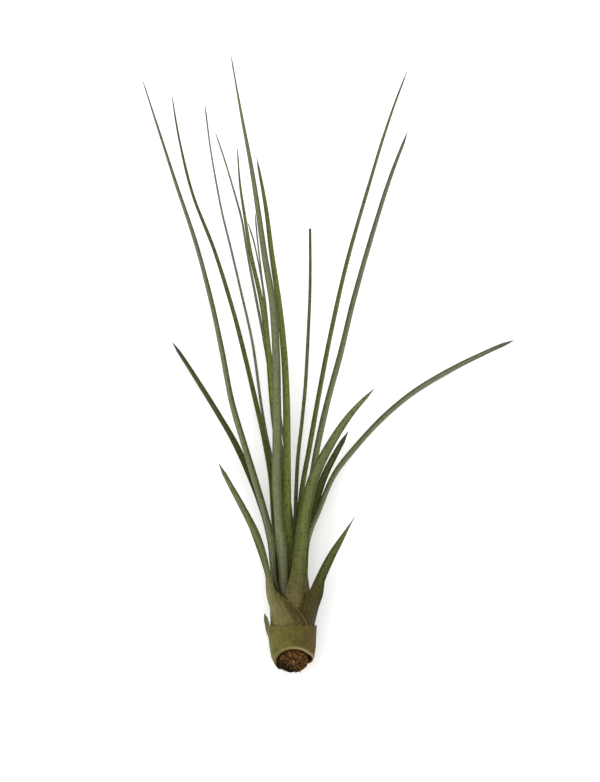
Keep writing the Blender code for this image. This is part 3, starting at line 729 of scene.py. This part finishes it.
def leaf_finish(name, flesh, shade, bloom, cover, upper, foot, tip, roughness=0.5):
    """Living leaf: waxy green flesh streaked lengthwise by its nerves, under a bloom of tiny silver scales.

    cover is how much of it the scales hide, upper and foot are its sheath's colours, and tip its old end's.
    """
    tree, shader = new_finish(name, roughness)
    surface = add(tree, "ShaderNodeUVMap", {"uv_map": "surface"}).outputs[0]
    space = add(tree, "ShaderNodeTexCoord", {}).outputs["Object"]
    sheath = add(tree, "ShaderNodeAttribute", {"attribute_name": "sheath"}).outputs["Fac"]
    dried = add(tree, "ShaderNodeAttribute", {"attribute_name": "dried"}).outputs["Fac"]
    edge = add(tree, "ShaderNodeAttribute", {"attribute_name": "edge"}).outputs["Fac"]
    far_out = add(tree, "ShaderNodeAttribute", {"attribute_name": "outward"}).outputs["Fac"]
    reach = add(tree, "ShaderNodeSeparateXYZ", {}, {0: surface}).outputs["Y"]
    aside = add(tree, "ShaderNodeSeparateXYZ", {}, {0: surface}).outputs["X"]

    # Flesh: streaks along its nerves, darker flecks, and duller towards its end
    stretched = add(tree, "ShaderNodeMapping", {"Scale": STREAK_SCALE}, {"Vector": surface}).outputs[0]
    streaks = add(tree, "ShaderNodeTexNoise", {"Scale": 1.0, "Detail": 3.0, "Roughness": 0.6},
                  {"Vector": stretched}).outputs["Fac"]
    streaky = add(tree, "ShaderNodeMapRange", {1: 0.36, 2: 0.66}, {0: streaks}).outputs[0]
    mottles = add(tree, "ShaderNodeTexNoise", {"Scale": 1 / (MOTTLE * MM), "Detail": 4.0, "Roughness": 0.7},
                  {"Vector": space}).outputs["Fac"]
    mottled = add(tree, "ShaderNodeMapRange", {1: 0.5, 2: 0.6, 4: 0.9}, {0: mottles}).outputs[0]
    green = add(tree, "ShaderNodeMix", {"data_type": "RGBA", 6: linear(flesh), 7: linear(shade)},
                {0: streaky}).outputs[2]
    old = add(tree, "ShaderNodeMapRange", {1: 0.3, 2: 1.0}, {0: far_out}).outputs[0]
    duller = add(tree, "ShaderNodeMix", {"data_type": "RGBA", 7: linear(tip)}, {0: old, 6: green}).outputs[2]

    # The sheath: another tone at its foot, and browner towards its right margin, where painted shade darkens
    # it too
    low = add(tree, "ShaderNodeMapRange", {1: 37.0, 2: 25.0}, {0: reach}).outputs[0]
    base = add(tree, "ShaderNodeMix", {"data_type": "RGBA", 6: linear(upper), 7: linear(foot)},
               {0: low}).outputs[2]
    streaked = add(tree, "ShaderNodeMix",
                   {"data_type": "RGBA", "blend_type": "MULTIPLY", 7: linear("#a8a288")},
                   {0: streaky, 6: base}).outputs[2]
    # Brown tint and painted shade together, rising towards the sheath's right margin
    right = add(tree, "ShaderNodeMapRange", {1: -3.0, 2: 9.0}, {0: aside}).outputs[0]
    darker = add(tree, "ShaderNodeMix", {"data_type": "RGBA", "blend_type": "MULTIPLY", 7: linear("#b0a672")},
                 {0: right, 6: streaked}).outputs[2]
    body = add(tree, "ShaderNodeMix", {"data_type": "RGBA"}, {0: sheath, 6: duller, 7: darker}).outputs[2]
    flecked = add(tree, "ShaderNodeMix",
                  {"data_type": "RGBA", "blend_type": "MULTIPLY", 7: linear("#a9b48c")},
                  {0: mottled, 6: body}).outputs[2]

    # The scales, drawn twice as coarse as they are so that they show, and thinner towards the margins, whose
    # flanks carry painted shade
    scales = add(tree, "ShaderNodeTexVoronoi", {"Scale": 1 / (SCALE_SPACING * MM)}, {"Vector": space})
    dots = add(tree, "ShaderNodeMapRange", {1: 0.8, 2: 0.1, 3: 0.35},
               {0: scales.outputs["Distance"]}).outputs[0]
    inner = add(tree, "ShaderNodeMapRange", {1: 0.85, 2: 0.3, 3: 0.1, 4: 1.0}, {0: edge}).outputs[0]
    silver = add(tree, "ShaderNodeMath", {"operation": "MULTIPLY"}, {0: dots, 1: inner}).outputs[0]
    covered = add(tree, "ShaderNodeMath", {"operation": "MULTIPLY", 1: cover, "use_clamp": True},
                  {0: silver}).outputs[0]
    bloomed = add(tree, "ShaderNodeMix", {"data_type": "RGBA", 7: linear(bloom)},
                  {0: covered, 6: flecked}).outputs[2]

    # Painted shade: the blade's flanks, which curve away, are painted darker than its back
    flank = add(tree, "ShaderNodeMapRange", {1: 0.25, 2: 0.75}, {0: edge}).outputs[0]
    blade_flank_shade_strength = add(tree, "ShaderNodeMath", {"operation": "MULTIPLY_ADD", 1: -0.7, 2: 0.7},
               {0: sheath}).outputs[0]
    painted_flank_shade = add(tree, "ShaderNodeMath", {"operation": "MULTIPLY"}, {0: flank, 1: blade_flank_shade_strength}).outputs[0]
    flank_shaded = add(tree, "ShaderNodeMix",
                  {"data_type": "RGBA", "blend_type": "MULTIPLY", 7: linear("#b3b49a")},
                  {0: painted_flank_shade, 6: bloomed}).outputs[2]

    # Thin dry margins, and a tip that has dried to grey-brown
    margin = add(tree, "ShaderNodeMapRange", {1: 0.94, 2: 0.99, 4: 0.55}, {0: edge}).outputs[0]
    papery = add(tree, "ShaderNodeMath", {"operation": "MULTIPLY"}, {0: margin, 1: sheath}).outputs[0]
    lined = add(tree, "ShaderNodeMix", {"data_type": "RGBA", 7: linear("#77693f")},
                {0: papery, 6: flank_shaded}).outputs[2]
    tipped = add(tree, "ShaderNodeMix", {"data_type": "RGBA", 7: linear("#4c4842")},
                 {0: dried, 6: lined}).outputs[2]
    tree.links.new(tipped, shader.inputs["Base Color"])

    # Relief: fine nerves between the modelled ones, and the scales
    fine = add(tree, "ShaderNodeMapping", {"Scale": NERVE_SCALE}, {"Vector": surface}).outputs[0]
    nerves = add(tree, "ShaderNodeTexNoise", {"Scale": 1.0, "Detail": 1.0}, {"Vector": fine}).outputs["Fac"]
    height = add(tree, "ShaderNodeMath", {"operation": "MULTIPLY_ADD", 1: 0.2},
                 {0: silver, 2: nerves}).outputs[0]
    bump = add(tree, "ShaderNodeBump", {"Strength": 0.5, "Distance": 0.12 * MM}, {"Height": height})
    tree.links.new(bump.outputs[0], shader.inputs["Normal"])


def dry_finish(name, left, right, dark, rim, roughness=0.75):
    """Dying leaf tissue: matte and papery, streaked by its fibres, greener on its left, with a pale rim."""
    tree, shader = new_finish(name, roughness)
    surface = add(tree, "ShaderNodeUVMap", {"uv_map": "surface"}).outputs[0]
    space = add(tree, "ShaderNodeTexCoord", {}).outputs["Object"]
    dried = add(tree, "ShaderNodeAttribute", {"attribute_name": "dried"}).outputs["Fac"]
    stretched = add(tree, "ShaderNodeMapping", {"Scale": STREAK_SCALE}, {"Vector": surface}).outputs[0]
    streaks = add(tree, "ShaderNodeTexNoise", {"Scale": 1.3, "Detail": 4.0, "Roughness": 0.65},
                  {"Vector": stretched}).outputs["Fac"]
    streaky = add(tree, "ShaderNodeMapRange", {1: 0.35, 2: 0.7}, {0: streaks}).outputs[0]
    patches = add(tree, "ShaderNodeTexNoise", {"Scale": 1 / (PATCH * MM), "Detail": 5.0, "Roughness": 0.6},
                  {"Vector": space}).outputs["Fac"]
    patchy = add(tree, "ShaderNodeMapRange", {1: 0.42, 2: 0.72, 4: 0.85}, {0: patches}).outputs[0]
    side = add(tree, "ShaderNodeSeparateXYZ", {}, {0: space}).outputs["X"]
    uneven = add(tree, "ShaderNodeMath", {"operation": "MULTIPLY_ADD", 1: 12 * MM},
                 {0: patches, 2: side}).outputs[0]
    browner = add(tree, "ShaderNodeMapRange", {1: 0.0, 2: 13 * MM}, {0: uneven}).outputs[0]
    tan = add(tree, "ShaderNodeMix", {"data_type": "RGBA", 6: linear(left), 7: linear(right)},
              {0: browner}).outputs[2]
    spotted = add(tree, "ShaderNodeMix", {"data_type": "RGBA", 7: linear(dark)},
                  {0: patchy, 6: tan}).outputs[2]
    streaked = add(tree, "ShaderNodeMix",
                   {"data_type": "RGBA", "blend_type": "MULTIPLY", 7: linear("#c2b89c")},
                   {0: streaky, 6: spotted}).outputs[2]

    # The spike that stands off on the left is dark green, and the rim at the foot pale, mostly on the right
    stub = add(tree, "ShaderNodeMapRange", {1: -12.0 * MM, 2: -13.3 * MM, 4: 0.8}, {0: side}).outputs[0]
    greener = add(tree, "ShaderNodeMix", {"data_type": "RGBA", 7: linear("#3f4620")},
                  {0: stub, 6: streaked}).outputs[2]
    near = add(tree, "ShaderNodeMapRange", {1: -7 * MM, 2: 3 * MM, 3: 0.3}, {0: side}).outputs[0]
    lip = add(tree, "ShaderNodeMath", {"operation": "MULTIPLY"}, {0: dried, 1: near}).outputs[0]
    edged = add(tree, "ShaderNodeMix", {"data_type": "RGBA", 7: linear(rim)}, {0: lip, 6: greener}).outputs[2]
    tree.links.new(edged, shader.inputs["Base Color"])
    bump = add(tree, "ShaderNodeBump", {"Strength": 0.7, "Distance": 0.15 * MM}, {"Height": streaks})
    tree.links.new(bump.outputs[0], shader.inputs["Normal"])


def stem_finish(name, tones, grain):
    """Broken stem tissue: dead, rough and fibrous, from near-black at its lower left to pale tan."""
    tree, shader = new_finish(name, 0.85)
    space = add(tree, "ShaderNodeTexCoord", {}).outputs["Object"]
    noise = add(tree, "ShaderNodeTexNoise", {"Scale": 1 / (grain * MM), "Detail": 4.0, "Roughness": 0.65},
                {"Vector": space}).outputs["Fac"]
    ramp = add(tree, "ShaderNodeValToRGB", {}, {"Fac": noise})
    for i, (place, code) in enumerate(tones):
        stop = ramp.color_ramp.elements[i] if i < 2 else ramp.color_ramp.elements.new(place)
        stop.position = place
        stop.color = linear(code)
    tilted = add(tree, "ShaderNodeVectorMath", {"operation": "DOT_PRODUCT", 1: DARKENED_SIDE},
                 {0: space}).outputs["Value"]
    dark_side_share = add(tree, "ShaderNodeMapRange", {1: DARKENED_REACH[0] * MM, 2: DARKENED_REACH[1] * MM, 4: 0.92},
                 {0: tilted}).outputs[0]
    darkened = add(tree, "ShaderNodeMix", {"data_type": "RGBA", 7: linear("#1c120b")},
                   {0: dark_side_share, 6: ramp.outputs[0]}).outputs[2]
    tree.links.new(darkened, shader.inputs["Base Color"])
    bump = add(tree, "ShaderNodeBump", {"Strength": 0.8, "Distance": 0.3 * MM}, {"Height": noise})
    tree.links.new(bump.outputs[0], shader.inputs["Normal"])


def make_finishes():
    """Every finish: its colours for flesh, shade and bloom, how far scales cover it, then sheath and tip."""
    # Living leaf under a thick bloom of scales: a matte grey-green that looks frosted, brown at its foot
    leaf_finish("silvery_leaf", "#656c40", "#4f5630", "#858b6e", 0.5, "#4a4522", "#3c3615", "#61653f")
    # The same bloom on a broad sheath that has begun to age: soft khaki, with the green left in its blade
    leaf_finish("silvery_sheath_leaf", "#5c6336", "#434920", "#828054", 0.45, "#8a8450", "#7a6f38", "#646848")
    # Thin leaf almost hidden by its scales: pale, chalky grey
    leaf_finish("grey_leaf", "#7d806c", "#6b6e5a", "#94968a", 0.4, "#66663f", "#5a5a34", "#8b8c7e")
    # Mature leaf under a middling bloom: dull grey-green, a little shine gone
    leaf_finish("dull_green_leaf", "#6a6f44", "#535933", "#8b8f78", 0.45, "#555330", "#484422", "#5f6150")
    # Plump leaf with fewer scales: fresh olive flecked with darker green, and a tan, papery foot
    leaf_finish("broad_leaf", "#646b31", "#434a17", "#7c8158", 0.3, "#5f5427", "#8c7848", "#6b704c")
    # Young leaf with few scales: clear mid green
    leaf_finish("fresh_green_leaf", "#676f36", "#525a24", "#80855a", 0.25, "#5d6030", "#565026", "#696c50")
    # Youngest inner leaf, nearly bare of scales: warm yellow-green, dark where it leaves the bulb
    leaf_finish("yellow_green_leaf", "#757f36", "#606a24", "#8c925c", 0.15, "#4c4720", "#3c3414", "#585e30")
    # Old leaf nearly bare of scales: dark olive, faintly waxy
    leaf_finish("dark_olive_leaf", "#545c2a", "#40471c", "#767b54", 0.2, "#4e4e24", "#48411c", "#666850")
    # Old leaf whose sheath has dried from below: olive above, dark brown at the foot
    leaf_finish("brown_footed_leaf", "#5a5f2b", "#454b1a", "#6c6c3c", 0.2, "#453d0c", "#4a3a08", "#686d48")

    # The channels are the leaves' inner faces: smooth, waxy and with hardly a scale, so a little glossier
    # Inside an old leaf: deep green
    leaf_finish("dark_channel", "#566020", "#434c10", "#6c713c", 0.1, "#4c4a22", "#3e3816", "#5a5e38", 0.42)
    # Inside a young leaf: bright, clean green
    leaf_finish("green_channel", "#88954a", "#6e7a36", "#7c8250", 0.1, "#636834", "#545224", "#6c6e50", 0.42)
    # Inside the youngest leaves: light yellow-green
    leaf_finish("yellow_channel", "#909c48", "#7a8634", "#a3a970", 0.1, "#7f8440", "#666530", "#80875a", 0.42)
    # Inside a thin grey leaf: pale, with scales on this face too
    leaf_finish("grey_channel", "#9d9f8c", "#8a8c78", "#adaea6", 0.3, "#75765a", "#62623e", "#949586", 0.5)
    # Inside a mature leaf: light olive that browns into the sheath
    leaf_finish("olive_channel", "#888e5a", "#727846", "#8f9368", 0.1, "#686238", "#544a26", "#70745a", 0.42)

    # Dead sheath, dried on the plant: brown and matte like old paper
    dry_finish("dry_brown_sheath", "#64612f", "#665228", "#463c1a", "#94835c")
    # Sheath that is still dying: mossy olive with some wax left, browner on its right
    dry_finish("dying_sheath", "#6e6b32", "#615025", "#47461e", "#97865c", 0.6)
    # Inner face of either, pale tan where the skin has parted
    dry_finish("dry_inner_face", "#7a6f44", "#5c4a2a", "#4c3c22", "#8a7c54")

    # Snapped stem core, weathered: rough dark brown with a grain of torn cells
    stem_finish("broken_stem_tissue", STEM_TONES, 1.6)
    # Loose strands of it, dry: lighter brown to straw, its palest tones dry fibre and partly painted
    # highlight
    stem_finish("torn_fibre", FIBRE_AND_HIGHLIGHT_TONES, 1.1)


def add_floor():
    """A plain pale board that the plant lies on: matte, and glowing a little."""
    bpy.ops.mesh.primitive_plane_add(size=FLOOR_SIZE * MM, location=(0, 0, -FLOOR_GAP * MM))
    floor = bpy.context.object
    floor.name = "floor"
    material = bpy.data.materials.new("matte_white_board")
    material.use_nodes = True
    shader = material.node_tree.nodes["Principled BSDF"]
    shader.inputs["Base Color"].default_value = linear("#fdfdfc")
    shader.inputs["Roughness"].default_value = 0.9
    shader.inputs["Emission Color"].default_value = (1, 1, 1, 1)
    shader.inputs["Emission Strength"].default_value = FLOOR_GLOW
    floor.data.materials.append(material)


def add_light(name, place, size, watts):
    """A soft square light that faces the plant."""
    bpy.ops.object.light_add(type="AREA", location=Vector(place) * MM)
    light = bpy.context.object
    light.name = name
    light.data.size = size * MM
    light.data.energy = watts
    aim = Vector(LIGHT_AIM) - Vector(place)
    light.rotation_euler = aim.to_track_quat("-Z", "Y").to_euler()


def add_studio():
    """Floor, soft lights and an even white sky."""
    add_floor()
    for name, place, size, watts in LIGHTS:
        add_light(name, place, size, watts)
    world = bpy.data.worlds.new("studio")
    world.use_nodes = True
    world.node_tree.nodes["Background"].inputs["Color"].default_value = (1, 1, 1, 1)
    world.node_tree.nodes["Background"].inputs["Strength"].default_value = WORLD_LIGHT
    bpy.context.scene.world = world
    bpy.context.scene.view_settings.view_transform = "Standard"


def add_camera():
    """The photograph's view: from the eye that the leaves are sighted from, square to the sheet."""
    bpy.ops.object.camera_add(location=EYE * MM, rotation=(math.pi / 2 - SIGHT_SLOPE, 0, 0))
    camera = bpy.context.object
    camera.data.sensor_fit = "VERTICAL"
    camera.data.sensor_height = SENSOR_HEIGHT
    camera.data.lens = LENS
    camera.data.clip_start = 0.01
    bpy.context.scene.camera = camera


def main():
    make_finishes()
    add_stem()
    add_fibres()
    for old in OLD_SHEATHS:
        add_old_sheath(old)
    for leaf in LEAVES:
        add_leaf(leaf)
    add_studio()
    add_camera()


main()
